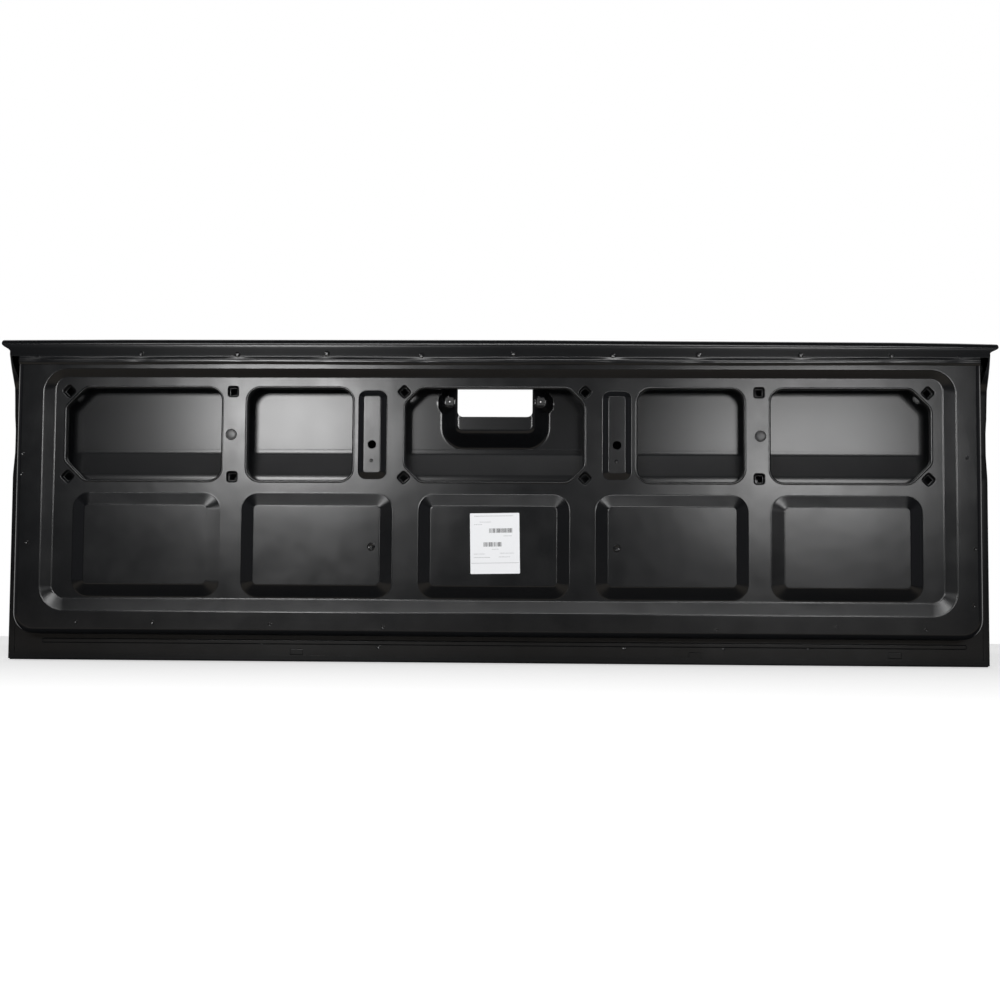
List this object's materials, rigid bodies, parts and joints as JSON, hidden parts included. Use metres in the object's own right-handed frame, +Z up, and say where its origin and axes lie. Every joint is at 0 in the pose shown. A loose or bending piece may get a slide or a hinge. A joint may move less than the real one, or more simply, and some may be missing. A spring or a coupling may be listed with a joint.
{
  "type": "pickup truck tailgate shell",
  "caption": "Bare pickup tailgate: a stamped inner panel with access openings and raised pads, hemmed into an outer skin with a step and a handle recess.",
  "frame": {"origin": "on the outer face of the left side wall, midway between the hinge's two bolt holes; left is seen from the inner side", "axes": "+Z up with the tailgate closed, +X along its width to the right seen from the inner side, +Y from the inner panel to the outer skin"},
  "size_m": [1.604, 0.0626, 0.521],
  "materials": {
    "skin_coat": "semi-gloss black primer",
    "panel_coat": "semi-gloss black primer",
    "plate_coat": "satin black primer",
    "nut_coat": "satin black primer",
    "plug_plastic": "satin black"
  },
  "bodies": {
    "root": {"outer_skin": "skin_coat", "inner_panel": "panel_coat", "hinge_reinforcement_left": "plate_coat", "hinge_reinforcement_right": "plate_coat", "cable_reinforcement_left": "plate_coat", "cable_reinforcement_right": "plate_coat", "latch_reinforcement_left": "plate_coat", "latch_reinforcement_right": "plate_coat", "hinge_nuts_left": "nut_coat", "hinge_nuts_right": "nut_coat", "cable_nut_left": "nut_coat", "cable_nut_right": "nut_coat", "latch_nuts_left": "nut_coat", "latch_nuts_right": "nut_coat", "handle_nut_left": "nut_coat", "handle_nut_right": "nut_coat", "pillar_plug_left": "plug_plastic", "pillar_plug_right": "plug_plastic"}
  },
  "joints": []
}
